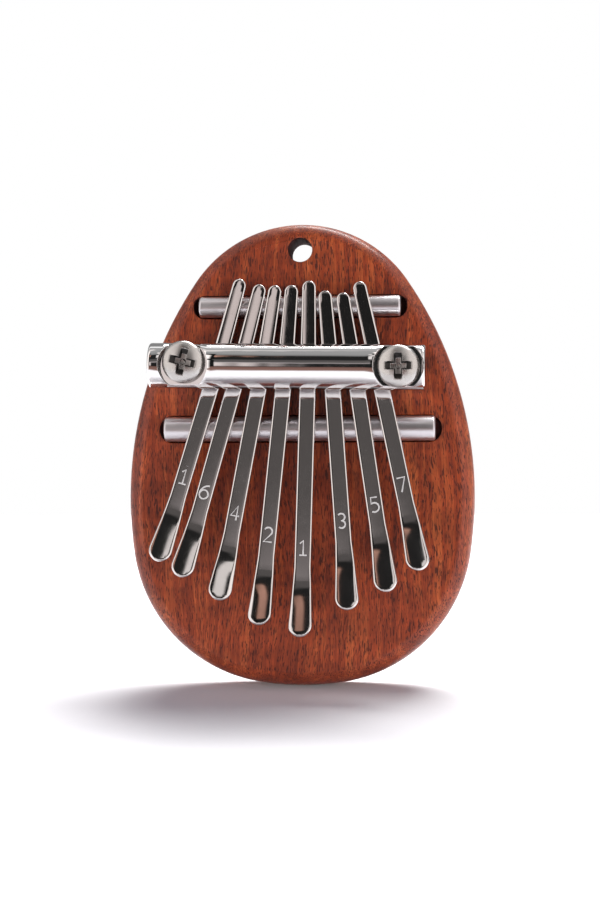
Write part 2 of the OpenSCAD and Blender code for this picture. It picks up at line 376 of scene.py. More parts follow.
def egg_arcs(sizes, bottom):
    """The right half of the egg as (centre, turn, steps) arcs, from the top round to the bottom."""
    half = sizes.width / 2
    crown = Vector((0, sizes.height - sizes.crown))
    rise = crown.y - sizes.widest
    side_r = (half ** 2 + rise ** 2 - sizes.crown ** 2) / (2 * (half - sizes.crown))
    side = Vector((half - side_r, sizes.widest))
    base = Vector((0, sizes.base))
    shoulder = meet(side, side_r - sizes.shoulder, base, sizes.base - sizes.shoulder)
    turns = (math.pi / 2, bearing(side, crown), bearing(side, shoulder),
             bearing(base, shoulder), -math.pi / 2)
    centres = (crown, side, shoulder, base)
    steps = (22, 24, 30, 8)
    return [((c.x, 0, c.y + bottom), turns[i] - turns[i + 1], steps[i])
            for i, c in enumerate(centres)]


def slot_cutter(name, rod, groove, gap, face):
    """A round-ended cutter for a rod's groove, standing out of the face."""
    low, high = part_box(rod)
    width = high[2] - low[2] + 2 * gap
    depth = high[1] - face
    cutter = peg(name, width / 2, (0, face - depth, (low[2] + high[2]) / 2), 2 * depth, 64)
    edit()
    for side in (-1, 1):
        select_where("verts", lambda v: v.co.x * side > 1e-6)
        bpy.ops.transform.translate(value=(side * (groove - width) / 2, 0, 0))
    bpy.ops.object.mode_set(mode="OBJECT")
    return cutter


def inside_cut(spot, sizes, face):
    """True for a face in the hang hole or in a rod's groove, below the softened rims."""
    slack = 0.05 * MM
    if spot.y < face + sizes.softness / 2:
        return False
    if math.hypot(spot.x, spot.z) < sizes.hole / 2 + slack:
        return spot.y < sizes.thickness + face - sizes.softness / 2
    for rod, groove in (("back_bridge_rod", sizes.back_groove),
                        ("front_bridge_rod", sizes.front_groove)):
        low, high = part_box(rod)
        half = (high[2] - low[2]) / 2 + sizes.groove_gap + slack
        if abs(spot.z - (low[2] + high[2]) / 2) < half and abs(spot.x) < groove / 2 + slack:
            return spot.y < high[1] + 0.5 * MM
    return False


def build_board(sizes, material, bore_shade):
    """The egg-shaped board with its rounded edges, grooves and holes."""
    low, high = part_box("board")
    face = low[1]
    egg = lone_point("board_egg", (0, face, high[2]))
    for centre, turn, steps in egg_arcs(sizes, low[2]):
        draw_arc((centre[0], face, centre[2]), turn, (0, 1, 0), steps)
    bpy.ops.object.mode_set(mode="OBJECT")
    mirror_half(egg)
    edit("EDGE")
    bpy.ops.mesh.select_all(action="SELECT")
    bpy.ops.mesh.remove_doubles(threshold=TOUCH)
    bpy.ops.mesh.edge_face_add()
    bpy.ops.mesh.extrude_region_move(TRANSFORM_OT_translate={"value": (0, sizes.thickness, 0)})
    outward()
    select_where("edges", lambda e: abs(e.verts[0].co.y - e.verts[1].co.y) < FLAT)
    bpy.ops.mesh.bevel(offset=sizes.edge, segments=9, affect="EDGES")
    # slices through the axis of each hole and groove let their rims be softened cleanly
    left, right = screw_axis("left_screw"), screw_axis("right_screw")
    for x in (0, left[0], right[0]):
        slice_at((x, 0, 0), (1, 0, 0))
    for z in (0, left[1], right[1], node_middle("back_bridge_rod", 2) * MM,
              node_middle("front_bridge_rod", 2) * MM):
        slice_at((0, 0, z), (0, 0, 1))
    bpy.ops.object.mode_set(mode="OBJECT")
    cutters = [
        slot_cutter("back_groove", "back_bridge_rod", sizes.back_groove, sizes.groove_gap, face),
        slot_cutter("front_groove", "front_bridge_rod", sizes.front_groove, sizes.groove_gap, face),
        peg("hang_hole", sizes.hole / 2, (0, face - sizes.edge, 0), 2 * sizes.thickness, 64),
    ]
    bore = bpy.context.scene.mbira_metal.shank / 2 + 0.05 * MM
    for node, (x, z) in (("left_screw", left), ("right_screw", right)):
        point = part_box(node)[1][1]
        cutters.append(peg("screw_hole", bore, (x, face - sizes.edge, z),
                           point - face + sizes.edge + 0.1 * MM, 32))
    for cutter in cutters:
        cut_with(egg, cutter)
    soften(egg, sizes.softness)
    # the second material paints shade on the faces inside the grooves and the hang hole
    egg.data.materials.append(material)
    egg.data.materials.append(bore_shade)
    for spot in egg.data.polygons:
        if inside_cut(spot.center, sizes, face):
            spot.material_index = 1
    finish(egg, material, "board", "board_wood", "board")
    modify(egg, "WEIGHTED_NORMAL", keep_sharp=True, weight=80)


# ---- rods, bar and screws ----

def build_rods(sizes, material):
    """The two bridge rods, with their turned ends."""
    for node in ("back_bridge_rod", "front_bridge_rod"):
        low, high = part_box(node)
        rod = round_bar(node + "_turned", (high[2] - low[2]) / 2, low[0], high[0],
                        (low[1] + high[1]) / 2, (low[2] + high[2]) / 2, sizes.rod_chamfer, 96)
        finish(rod, material, "board", "rod_steel", node)


def screw_axis(node):
    """The axis of a screw as x and z, from its CAD node."""
    low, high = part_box(node)
    return (low[0] + high[0]) / 2, (low[2] + high[2]) / 2


def bar_place():
    """The bar's middle and its radius, from its CAD node."""
    low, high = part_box("pressure_bar")
    return (Vector(low) + Vector(high)) / 2, (high[1] - low[1]) / 2


def build_bar(sizes, material):
    """The round pressure bar with its screw seats."""
    low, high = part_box("pressure_bar")
    middle, radius = bar_place()
    half = (high[0] - low[0] - 2 * radius * math.sin(sizes.bar_skew)) / 2 / math.cos(sizes.bar_skew)
    bar = round_bar("pressure_bar_plated", radius, middle.x - half, middle.x + half,
                    middle.y, middle.z, sizes.bar_chamfer, 144)
    seat_y = low[1] + sizes.seat_depth
    for x in (screw_axis("left_screw")[0], screw_axis("right_screw")[0]):
        cut_with(bar, peg("seat", sizes.seat / 2, (x, low[1] - radius, middle.z),
                          seat_y - low[1] + radius, 96))
        cut_with(bar, peg("clearance", sizes.bar_hole / 2, (x, low[1], middle.z), 3 * radius, 64))
    soften(bar, 0.1 * MM, segments=2, sharper_than=38)
    edit()
    ring = 2.1 * MM     # rings along the bar keep its shading even beside the seats
    for i in range(-12, 13):
        slice_at((middle.x + i * ring, 0, 0), (1, 0, 0))
    bpy.ops.object.mode_set(mode="OBJECT")
    tilt = Matrix.Translation(middle) @ Matrix.Rotation(sizes.bar_skew, 4, "Y")
    bar.data.transform(tilt @ Matrix.Translation(-middle))
    finish(bar, material, "board", "bar_chrome", "pressure_bar", smooth=32)
    modify(bar, "WEIGHTED_NORMAL", keep_sharp=True, weight=60)


def cross_cutter(name, sizes, top, centre, turn):
    """A cross recess whose arms narrow towards the bottom, cutting in from the top of a head."""
    mouth, floor = 1.5, 0.4              # an arm's reach at its mouth and at its floor
    mouth_width, floor_width = 1.22, 0.55
    above = 0.8 * MM                     # how far the cutter stands out of the head
    arms = []
    for quarter in (0, math.pi / 2):
        clear_selection()
        bpy.ops.mesh.primitive_cube_add(size=1)
        arm = added(name)
        bpy.ops.transform.resize(value=(mouth * sizes.recess, sizes.recess_depth + above,
                                        mouth_width * sizes.recess_arm))
        bpy.ops.transform.translate(value=(0, (sizes.recess_depth - above) / 2, 0))
        bpy.ops.object.transform_apply(location=True, rotation=True, scale=True)
        edit()
        select_where("verts", lambda v: v.co.y > 0)
        bpy.ops.transform.resize(value=(floor, 1, floor_width))
        bpy.ops.object.mode_set(mode="OBJECT")
        place = Matrix.Translation((centre[0], top, centre[1]))
        arm.data.transform(place @ Matrix.Rotation(quarter + turn, 4, "Y"))
        arms.append(arm)
    cut_with(arms[0], arms[1], "UNION")
    core = peg("core", sizes.recess_arm * 0.82, (centre[0], top - sizes.recess_depth, centre[1]),
               2 * sizes.recess_depth * 1.06, 24, 0.3 * sizes.recess_arm)
    cut_with(arms[0], core, "UNION")
    return arms[0]


def build_screw(node, turn, sizes, material, dark):
    """A pan-head screw with a domed head, a tapered cross recess and a pointed shank."""
    low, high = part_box(node)
    x, z = screw_axis(node)
    top = low[1]
    seat = top + sizes.head_height
    reach = sizes.head / 2
    shank = sizes.shank / 2
    rise = 0.44 * sizes.head_height      # how far the dome stands over the head's rim
    dome = (reach ** 2 + rise ** 2) / (2 * rise)
    shoulder = (0.36 * MM, 0.32 * MM, 0)
    side = (0.14 * MM, 0.4 * MM, 0)
    foot = 0.2 * MM                      # bevel under the head
    screw = lone_point(node + "_pan_head", (x, top, z))
    draw_arc((x, top + dome, z), math.asin((reach - shoulder[0] - side[0]) / dome), (0, 0, 1), 10)
    draw_to(shoulder)
    draw_to(side)
    last = max(bmesh.from_edit_mesh(screw.data).verts, key=lambda v: v.co.y)
    draw_to(Vector((x + reach, seat - foot, z)) - last.co)
    draw_to((-foot, foot, 0))
    draw_to((shank - reach + foot, 0, 0))
    draw_to((0, high[1] - seat - shank, 0))
    draw_to((-shank, shank, 0))
    bpy.ops.mesh.select_all(action="SELECT")
    bpy.ops.mesh.spin(steps=72, angle=2 * math.pi, center=(x, top, z), axis=(0, 1, 0))
    outward()
    bpy.ops.object.mode_set(mode="OBJECT")
    cut_with(screw, cross_cutter("recess", sizes, top, (x, z), turn))
    soften(screw, 0.09 * MM, segments=2, sharper_than=38)
    screw.data.materials.append(material)
    screw.data.materials.append(dark)
    # the recess's walls take a near-black metal as painted shade, and its floor, which faces out,
    # keeps the head's own metal
    for face in screw.data.polygons:
        out = math.hypot(face.center.x - x, face.center.z - z)
        dome_y = top + dome - math.sqrt(dome ** 2 - min(out, reach) ** 2)
        if out < 0.6 * sizes.recess and dome_y + 0.12 * MM < face.center.y < seat:
            face.material_index = 1 if face.normal.y > -0.93 else 0
    finish(screw, material, "board", "screw_nickel", node, smooth=33)


# ---- the tines ----

def leave_slope(run, axis_height, reach):
    """Slope at which a strip leaves the bar to lie on a rod, run away, whose axis is that high."""
    return math.atan2(axis_height, run) + math.asin(reach / math.hypot(run, axis_height))


def rounded_path(path, reach):
    """A path of (distance, height) points with each inner corner eased over reach on both sides."""
    eased = [path[0]]
    for before, corner, after in zip(path, path[1:], path[2:]):
        a, b, c = Vector(before), Vector(corner), Vector(after)
        start = b + (a - b).normalized() * reach
        stop = b + (c - b).normalized() * reach
        for i in range(9):
            t = i / 8
            eased.append((1 - t) ** 2 * start + 2 * t * (1 - t) * b + t ** 2 * stop)
    eased.append(path[-1])
    return [Vector(p) for p in eased]


def along_path(path, distance):
    """The point and the upward direction at a distance from the bar, measured along X."""
    for a, b in zip(path, path[1:]):
        if distance <= b.x or b is path[-1]:
            step = (b - a).normalized()
            point = a + (b - a) * ((distance - a.x) / (b.x - a.x))
            return point, Vector((-step.y, step.x))
    raise ValueError("the path is empty")


class TinePlan:
    """Where one tine lies: its crossing under the bar, its slopes and its side path."""

    def __init__(self, index, sizes):
        node, self.note, self.dots, free, tail, lean, number, roll, tail_roll = TINES[index]
        self.node = node
        self.lean = math.radians(lean)
        self.roll = math.tan(math.radians(roll))
        self.tail_roll = math.tan(math.radians(tail_roll))
        joint = next(j for j in frame["joints"] if j["child"] == node)
        self.pivot = Vector(joint["pos_m"])
        metal = bpy.context.scene.mbira_metal
        middle, radius = bar_place()
        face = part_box("board")[0][1]
        low_b, high_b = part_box("back_bridge_rod")
        low_f, high_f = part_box("front_bridge_rod")
        rise = math.tan(self.lean)
        skew = math.tan(metal.bar_skew)
        # the tine's middle line meets the bar's axis where both straight lines cross
        x0, z0 = self.pivot.x, self.pivot.z
        self.z = (middle.z - (x0 - z0 * rise - middle.x) * skew) / (1 + rise * skew)
        self.x = x0 + (self.z - z0) * rise
        strip = middle.y + radius + sizes.gap + sizes.thickness / 2
        self.y = strip
        reach = sizes.thickness / 2 + sizes.gap
        back_z = (low_b[2] + high_b[2]) / 2
        back_run = (back_z - self.z) / math.cos(self.lean)
        front_run = (self.z - z0) / math.cos(self.lean)
        up = leave_slope(back_run, strip - (low_b[1] + high_b[1]) / 2,
                         (high_b[1] - low_b[1]) / 2 + reach)
        down = leave_slope(front_run, strip - (low_f[1] + high_f[1]) / 2,
                           (high_f[1] - low_f[1]) / 2 + reach)
        self.back = back_run + tail * MM
        self.front = front_run + free * MM
        self.rod = front_run
        self.number = self.front - number * MM
        self.crease = self.front - sizes.upturn
        crease_height = self.crease * math.tan(down)
        tip_rise = math.tan(down + sizes.bend)
        over = 2 * MM       # the path runs a little past both ends of the strip
        path = [Vector((-self.back - over, (self.back + over) * math.tan(up))), Vector((0, 0)),
                Vector((self.crease, crease_height)),
                Vector((self.front + over, crease_height + (sizes.upturn + over) * tip_rise))]
        self.path = rounded_path(path, 1.6 * MM)
        self.turn = (Matrix.Translation((self.x, self.y, self.z))
                     @ Matrix.Rotation(self.lean, 4, "Y"))

    def place(self, flat, sizes):
        """Folds a point of the flat strip (across, towards the tail, up) into its place."""
        distance = -flat.y
        # the tip's and the tail's own crown and roll come in over the first few millimetres
        lift = max(0.0, min(1.0, (distance - self.crease) / (3 * MM)))
        tail = max(0.0, min(1.0, -distance / (4 * MM)))
        crown = sizes.strip_crown + lift * sizes.crown + tail * sizes.tail_crown
        height = flat.z - flat.x * (self.roll * lift + self.tail_roll * tail)
        if flat.z > 0:
            height += crown * (0.3 - (2 * flat.x / sizes.tip) ** 2)
        point, up = along_path(self.path, distance)
        spot = point + up * height
        return self.turn @ Vector((flat.x, -spot.y, -spot.x))


def flat_strip(plan, sizes):
    """The tine as a flat strip along Y, tail at +Y, with round ends, flare and tumbled edges."""
    top = sizes.thickness / 2
    tail_y = plan.back - sizes.tail / 2
    tip_y = sizes.tip / 2 - plan.front
    flare_y = sizes.flare - plan.front
    strip = lone_point(plan.node + "_strip", (0, plan.back, top))
    draw_arc((0, tail_y, top), -math.pi / 2, (0, 0, 1), 14)
    eased = (sizes.width / 2 + 0.12 * (sizes.tip - sizes.width),
             flare_y - 0.25 * (flare_y - tip_y))
    corners = ((sizes.tail / 2, tail_y), (sizes.width / 2, 0), (sizes.width / 2, flare_y), eased,
               (sizes.tip / 2, tip_y))
    for a, b in zip(corners, corners[1:]):
        draw_to((b[0] - a[0], b[1] - a[1], 0))
    draw_arc((0, tip_y, top), -math.pi / 2, (0, 0, 1), 18)
    bpy.ops.object.mode_set(mode="OBJECT")
    mirror_half(strip)
    edit("EDGE")
    bpy.ops.mesh.select_all(action="SELECT")
    bpy.ops.mesh.remove_doubles(threshold=TOUCH)
    bpy.ops.mesh.edge_face_add()
    bpy.ops.mesh.extrude_region_move(TRANSFORM_OT_translate={"value": (0, 0, -sizes.thickness)})
    outward()
    select_where("edges", lambda e: abs(e.verts[0].co.z - e.verts[1].co.z) < FLAT)
    bpy.ops.mesh.bevel(offset=sizes.edge, segments=4, affect="EDGES")
    # rows across the strip let it fold, closer together at the two bends
    rows = [i * MM for i in range(math.ceil(-plan.front / MM), math.floor(plan.back / MM) + 1)]
    rows += [bend + i * 0.4 * MM for bend in (-plan.crease, 0) for i in range(-4, 5)]
    for y in rows:
        slice_at((0, y, 0), (0, 1, 0))
    lane = 0.45 * MM    # lanes along the strip carry its crown
    for i in range(-3, 4):
        slice_at((i * lane, 0, 0), (1, 0, 0))
    bpy.ops.object.mode_set(mode="OBJECT")
    return strip


def slice_at(point, normal):
    """Cuts the whole mesh across a plane, adding edges only."""
    bpy.ops.mesh.select_all(action="SELECT")
    bpy.ops.mesh.bisect(plane_co=point, plane_no=normal)


def stroke_line(name, stroke):
    """One stroke of a number as a line of edges."""
    spot = Vector(stroke[0])
    line = lone_point(name, (*spot, 0))
    for move in stroke[1:]:
        goal = Vector(move[:2])
        if len(move) == 2:
            draw_to((*(goal - spot), 0))
            spot = goal
        else:
            turn = math.radians(move[2])
            draw_arc((*goal, 0), turn, (0, 0, 1), 14)
            spot = goal + Matrix.Rotation(turn, 2) @ (spot - goal)
    bpy.ops.object.mode_set(mode="OBJECT")
    return line


def etched_number(plan, sizes, material):
    """The note's number as thin strokes just proud of the strip, with its octave dot."""
    lines = [stroke_line(plan.node + "_number", stroke)
             for stroke in STROKES[plan.note] + (DOT,) * plan.dots]
    clear_selection()
    for line in lines:
        line.select_set(True)
    number = bpy.context.view_layer.objects.active = lines[0]
    if len(lines) > 1:
        bpy.ops.object.join()
    bpy.ops.transform.resize(value=(sizes.number,) * 3)
    bpy.ops.object.transform_apply(location=True, rotation=True, scale=True)
    bpy.ops.object.convert(target="CURVE")
    bpy.context.object.data.bevel_depth = sizes.stroke / 2
    bpy.context.object.data.bevel_resolution = 2
    bpy.context.object.data.use_fill_caps = True
    bpy.ops.object.convert(target="MESH")
    number = bpy.context.object
    bpy.ops.transform.resize(value=(1, 1, 0.1))
    number.location = (0, -plan.number, sizes.thickness / 2)
    bpy.ops.object.transform_apply(location=True, rotation=True, scale=True)
    number.data.materials.clear()
    number.data.materials.append(material)
    return number


def build_tine(index, sizes, steel, etch):
    """One tine: a tumbled steel strip folded over the rods, with its number etched in."""
    plan = TinePlan(index, sizes)
    strip = flat_strip(plan, sizes)
    strip.data.materials.append(steel)
    number = etched_number(plan, sizes, etch)
    clear_selection()
    number.select_set(True)
    strip.select_set(True)
    bpy.context.view_layer.objects.active = strip
    bpy.ops.object.join()
    for vertex in strip.data.vertices:
        vertex.co = plan.place(vertex.co, sizes)
    finish(strip, steel, None, "tine_steel", plan.node, smooth=50)
    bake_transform(strip)


# ---- materials ----

class Nodes:
    """A small hand for wiring one node tree."""

    def __init__(self, tree):
        self.tree = tree
        self.column = 0

    def add(self, kind, **settings):
        """Adds a node; keys that name a property set it, and a dict under inputs sets sockets."""
        node = self.tree.nodes.new(kind)
        self.column += 1
        node.location = (self.column * 180 - 2400, 0)
        inputs = settings.pop("inputs", {})
        for key, value in settings.items():
            setattr(node, key, value)
        for key, value in inputs.items():
            if isinstance(value, bpy.types.NodeSocket):
                self.tree.links.new(value, node.inputs[key])
            else:
                node.inputs[key].default_value = value
        return node

    def math(self, operation, a, b=0.0, clamp=False):
        """One math node and its output."""
        return self.add("ShaderNodeMath", operation=operation, use_clamp=clamp,
                        inputs={0: a, 1: b}).outputs[0]

    def ramp(self, value, *stops):
        """A colour ramp from (place, colour or grey) stops."""
        node = self.add("ShaderNodeValToRGB", inputs={0: value})
        band = node.color_ramp
        while len(band.elements) < len(stops):
            band.elements.new(0.5)
        for element, (place, shade) in zip(band.elements, stops):
            element.position = place
            element.color = (*(shade if isinstance(shade, tuple) else (shade,) * 3), 1)
        return node.outputs[0]

    def mix(self, share, a, b, blend="MIX"):
        """Mixes two colours."""
        node = self.add("ShaderNodeMix", data_type="RGBA", blend_type=blend)
        for socket, value in ((node.inputs[0], share), (node.inputs[6], a), (node.inputs[7], b)):
            if isinstance(value, bpy.types.NodeSocket):
                self.tree.links.new(value, socket)
            elif isinstance(value, (int, float)):
                socket.default_value = value
            else:
                socket.default_value = (*value, 1)
        return node.outputs[2]

    def noise(self, vector, scale, detail=4.0, rough=0.5, distort=0.0):
        """A noise texture's value."""
        return self.add("ShaderNodeTexNoise", inputs={
            "Vector": vector, "Scale": scale, "Detail": detail, "Roughness": rough,
            "Distortion": distort}).outputs[0]

    def stretched(self, vector, scale, turn=(0, 0, 0)):
        """The same vector scaled and turned."""
        return self.add("ShaderNodeMapping", inputs={
            "Vector": vector, "Scale": scale, "Rotation": turn}).outputs[0]


def surface(name):
    """A new material's node hand, its shader and its object coordinates in millimetres."""
    material = bpy.data.materials.new(name)
    material.use_nodes = True
    hand = Nodes(material.node_tree)
    shader = material.node_tree.nodes["Principled BSDF"]
    place = hand.add("ShaderNodeTexCoord").outputs["Object"]
    millimetres = hand.stretched(place, (1000, 1000, 1000))
    return material, hand, shader, millimetres


def handling_marks():
    """A node group with the faint smudges and hairlines that handled metal carries."""
    group = bpy.data.node_groups.get("Handling marks")
    if group:
        return group
    group = bpy.data.node_groups.new("Handling marks", "ShaderNodeTree")
    for name, kind, way in (("Vector", "NodeSocketVector", "INPUT"),
                            ("Smudge size", "NodeSocketFloat", "INPUT"),
                            ("Smudges", "NodeSocketFloat", "OUTPUT"),
                            ("Hairlines", "NodeSocketFloat", "OUTPUT")):
        group.interface.new_socket(name=name, in_out=way, socket_type=kind)
    hand = Nodes(group)
    source = hand.add("NodeGroupInput")
    sink = hand.add("NodeGroupOutput")
    blotch = hand.noise(source.outputs["Vector"], 0.35, 5.0, 0.6, 0.4)
    scaled = hand.math("MULTIPLY", blotch, source.outputs["Smudge size"])
    smudges = hand.ramp(scaled, (0.35, 0.0), (0.75, 1.0))
    lines = []
    for turn in ((0, 0.5, 0), (0.3, -0.9, 0.4)):
        vector = hand.stretched(source.outputs["Vector"], (6.0, 6.0, 0.25), turn)
        lines.append(hand.ramp(hand.noise(vector, 1.6, 2.0, 0.5), (0.63, 0.0), (0.7, 1.0)))
    hairs = hand.math("MAXIMUM", lines[0], lines[1])
    group.links.new(smudges, sink.inputs["Smudges"])
    group.links.new(hairs, sink.inputs["Hairlines"])
    return group


def metal(name, tint, rough, marks, smudge, hair, bump=0.0):
    """A polished metal: tint, base roughness, and how much its marks change both."""
    material, hand, shader, place = surface(name)
    group = hand.add("ShaderNodeGroup", node_tree=marks,
                     inputs={"Vector": place, "Smudge size": 1.0})
    smear = hand.math("MULTIPLY", group.outputs["Smudges"], smudge)
    lines = hand.math("MULTIPLY", group.outputs["Hairlines"], hair)
    total = hand.math("ADD", hand.math("ADD", smear, lines), rough, clamp=True)
    hand.tree.links.new(total, shader.inputs["Roughness"])
    tone = hand.mix(smear, tuple(tint), tuple(0.82 * c for c in tint))
    hand.tree.links.new(tone, shader.inputs["Base Color"])
    shader.inputs["Metallic"].default_value = 1.0
    if bump:
        ripple = hand.add("ShaderNodeBump", inputs={
            "Height": hand.noise(place, 0.12, 1.0, 0.5), "Strength": bump, "Distance": 0.001})
        hand.tree.links.new(ripple.outputs[0], shader.inputs["Normal"])
    return material, hand, shader, place


def wood_material(finish_set):
    """Mahogany along Z: streaks, short dark pores, a faint ribbon figure and a satin skin."""
    material, hand, shader, place = surface("Oiled mahogany")
    wander = hand.noise(hand.stretched(place, (0.05, 0.05, 0.018)), 1.0, 3.0)
    sway = hand.math("MULTIPLY", wander, 9.0)
    shift = hand.add("ShaderNodeCombineXYZ", inputs={0: sway}).outputs[0]
    bent = hand.add("ShaderNodeVectorMath", operation="ADD", inputs={0: place, 1: shift}).outputs[0]
    streak = hand.noise(hand.stretched(bent, (1.5, 1.5, 0.035)), 1.0, 7.0, 0.62)
    band = hand.noise(hand.stretched(bent, (0.16, 0.16, 0.012)), 1.0, 3.0, 0.5)
    mottle = hand.noise(hand.stretched(bent, (0.35, 0.35, 0.14)), 1.0, 4.0, 0.55)
    tone = hand.math("ADD", hand.math("MULTIPLY", streak, 0.5), hand.math("MULTIPLY", band, 0.34))
    tone = hand.math("ADD", tone, hand.math("MULTIPLY", mottle, 0.16))
    base = hand.ramp(tone, (0.34, tuple(finish_set.wood_dark)), (0.5, tuple(finish_set.wood_mid)),
                     (0.66, tuple(finish_set.wood_light)))
    ribbon = hand.noise(hand.stretched(bent, (0.10, 0.10, 0.42), (0, 0.35, 0)), 1.0, 2.0, 0.5)
    base = hand.mix(0.5, base, hand.ramp(ribbon, (0.38, 0.72), (0.62, 1.22)), "MULTIPLY")
    fibre = hand.noise(hand.stretched(bent, (9.0, 9.0, 0.22)), 1.0, 3.0, 0.6)
    base = hand.mix(0.8, base, hand.ramp(fibre, (0.34, 0.55), (0.66, 1.4)), "MULTIPLY")
    pores = hand.noise(hand.stretched(bent, (7.5, 7.5, 0.85)), 1.0, 1.0, 0.4)
    crowding = hand.noise(hand.stretched(bent, (0.5, 0.5, 0.1)), 1.0, 2.0, 0.5)
    open_pores = hand.math("ADD", pores, hand.math("MULTIPLY", crowding, 0.16))
    mask = hand.ramp(open_pores, (0.645, 0.0), (0.69, 1.0))
    base = hand.mix(hand.math("MULTIPLY", mask, 0.85), base, tuple(finish_set.pore_and_bore_shade))
    hand.tree.links.new(base, shader.inputs["Base Color"])
    rough = hand.math("ADD", hand.math("MULTIPLY", fibre, 0.16), finish_set.wood_rough - 0.08)
    rough = hand.math("ADD", rough, hand.math("MULTIPLY", mask, 0.25), clamp=True)
    hand.tree.links.new(rough, shader.inputs["Roughness"])
    height = hand.math("SUBTRACT", hand.math("MULTIPLY", fibre, 0.12), mask)
    bump = hand.add("ShaderNodeBump",
                    inputs={"Height": height, "Strength": 0.35, "Distance": 0.00008})
    hand.tree.links.new(bump.outputs[0], shader.inputs["Normal"])
    shader.inputs["Specular IOR Level"].default_value = 0.32
    shader.inputs["Coat Weight"].default_value = 0.3
    shader.inputs["Coat Roughness"].default_value = 0.28
    return material


def shaded_bore_wood(tint):
    """Dark wood as painted shade in the grooves and the hang hole, rough and uncoated."""
    material, hand, shader, place = surface("Bored wood")
    fibre = hand.noise(hand.stretched(place, (6.0, 6.0, 0.6)), 1.0, 3.0, 0.6)
    light = tuple(2.6 * c for c in tint)
    hand.tree.links.new(hand.mix(fibre, tuple(tint), light), shader.inputs["Base Color"])
    shader.inputs["Roughness"].default_value = 0.85
    shader.inputs["Specular IOR Level"].default_value = 0.15
    return material


def etched_material(tint):
    """Frosted laser-etched steel for the numbers."""
    material, hand, shader, place = surface("Etched steel")
    grain = hand.noise(place, 9.0, 2.0)
    tone = hand.mix(grain, tuple(tint), tuple(0.75 * c for c in tint))
    hand.tree.links.new(tone, shader.inputs["Base Color"])
    shader.inputs["Metallic"].default_value = 0.2
    shader.inputs["Roughness"].default_value = 0.75
    return material


def rod_material(tint, marks):
    """Turned steel with a satin, finely ringed skin."""
    material, hand, shader, place = metal("Turned rod steel", tint, 0.3, marks, 0.05, 0.04)
    rings = hand.noise(hand.stretched(place, (12.0, 0.05, 0.05)), 1.0, 1.0, 0.5)
    bump = hand.add("ShaderNodeBump",
                    inputs={"Height": rings, "Strength": 0.05, "Distance": 0.00001})
    hand.tree.links.new(bump.outputs[0], shader.inputs["Normal"])
    return material


# ---- the stage ----

# What the metal mirrors of the room, as (degrees above level in front of the board, shade).
# Level behind the board is 180.
ROOM = (
    (-90, (0.92, 0.85, 0.87)), (-27, (0.98, 0.93, 0.94)), (-22, (0.30, 0.17, 0.14)),
    (-8, (0.22, 0.12, 0.10)), (-5, 0.015), (7, 0.02), (10.5, 0.05), (12.5, (0.42, 0.38, 0.38)),
    (14.5, (0.42, 0.38, 0.38)), (16, (0.118, 0.109, 0.107)), (26, (0.118, 0.109, 0.107)),
    (30, 0.02), (48, 0.02), (55, 0.3), (62, 0.38), (97, 0.42), (100, 1.2), (107, 1.2),
    (110, 0.3), (145, 0.25), (200, 0.9), (270, 0.92),
)

# Panels in front of the board: from and to in degrees aside, from and to in degrees up, colour.
PANELS = (
    (-15, -6.5, -4, 13, (0.85, 0.75, 0.73)),
    (-17.5, -9.4, 41, 49, (0.60, 0.33, 0.25)),
    (9.5, 20, 32, 58, (0.95, 0.90, 0.88)),
)


def studio_world():
    """A white studio, with banded light and dark in front for the metal to mirror."""
    world = bpy.data.worlds.new("Studio")
    bpy.context.scene.world = world
    world.use_nodes = True
    hand = Nodes(world.node_tree)
    hand.tree.nodes.clear()
    look = hand.add("ShaderNodeTexCoord").outputs["Generated"]
    parts = hand.add("ShaderNodeSeparateXYZ", inputs={0: look})
    x, y, z = parts.outputs
    # the climb is 0 straight down, 0.25 level in front, 0.5 straight up, 0.75 level behind
    climb = hand.math("ARCTAN2", hand.math("MULTIPLY", y, -1.0), hand.math("MULTIPLY", z, -1.0))
    climb = hand.math("FRACT", hand.math("ADD", hand.math("DIVIDE", climb, 2 * math.pi), 1.0))
    aside = hand.math("ARCTAN2", x, hand.math("MULTIPLY", y, -1.0))

    def band(value, low, high, soft, scale=180 / math.pi):
        """A mask that is 1 between two values, in degrees, with soft ends."""
        value = hand.math("MULTIPLY", value, scale)
        rise = hand.math("DIVIDE", hand.math("SUBTRACT", value, low - soft / 2), soft, clamp=True)
        fall = hand.math("DIVIDE", hand.math("SUBTRACT", value, high - soft / 2), soft, clamp=True)
        return hand.math("SUBTRACT", rise, fall)

    def climbs(low, high, soft):
        return band(climb, low + 90, high + 90, soft, 360.0)

    room = hand.ramp(climb, *[((90 + degrees) / 360, shade) for degrees, shade in ROOM])
    dark = hand.math("MULTIPLY", band(aside, -60, 60, 8), climbs(-5, 60, 4))
    shade = hand.mix(dark, room, (0.01, 0.01, 0.01))
    shade = hand.mix(band(aside, -15, 15, 3), shade, room)
    lit = hand.math("SUBTRACT", 1.0, band(aside, -27, 27, 6))
    shade = hand.mix(hand.math("MULTIPLY", lit, climbs(-60, 80, 20)), shade, (1.35, 1.26, 1.22))
    for low, high, down, up, tint in PANELS:
        panel = hand.math("MULTIPLY", band(aside, low, high, 2), climbs(down, up, 5))
        shade = hand.mix(panel, shade, tint)
    path = hand.add("ShaderNodeLightPath")
    shade = hand.mix(path.outputs["Is Diffuse Ray"], shade, (0.095, 0.084, 0.125))
    shade = hand.mix(path.outputs["Is Camera Ray"], shade, (1.0, 1.0, 1.0))
    glow = hand.add("ShaderNodeBackground", inputs={"Color": shade, "Strength": 1.0})
    out = hand.add("ShaderNodeOutputWorld")
    hand.tree.links.new(glow.outputs[0], out.inputs["Surface"])


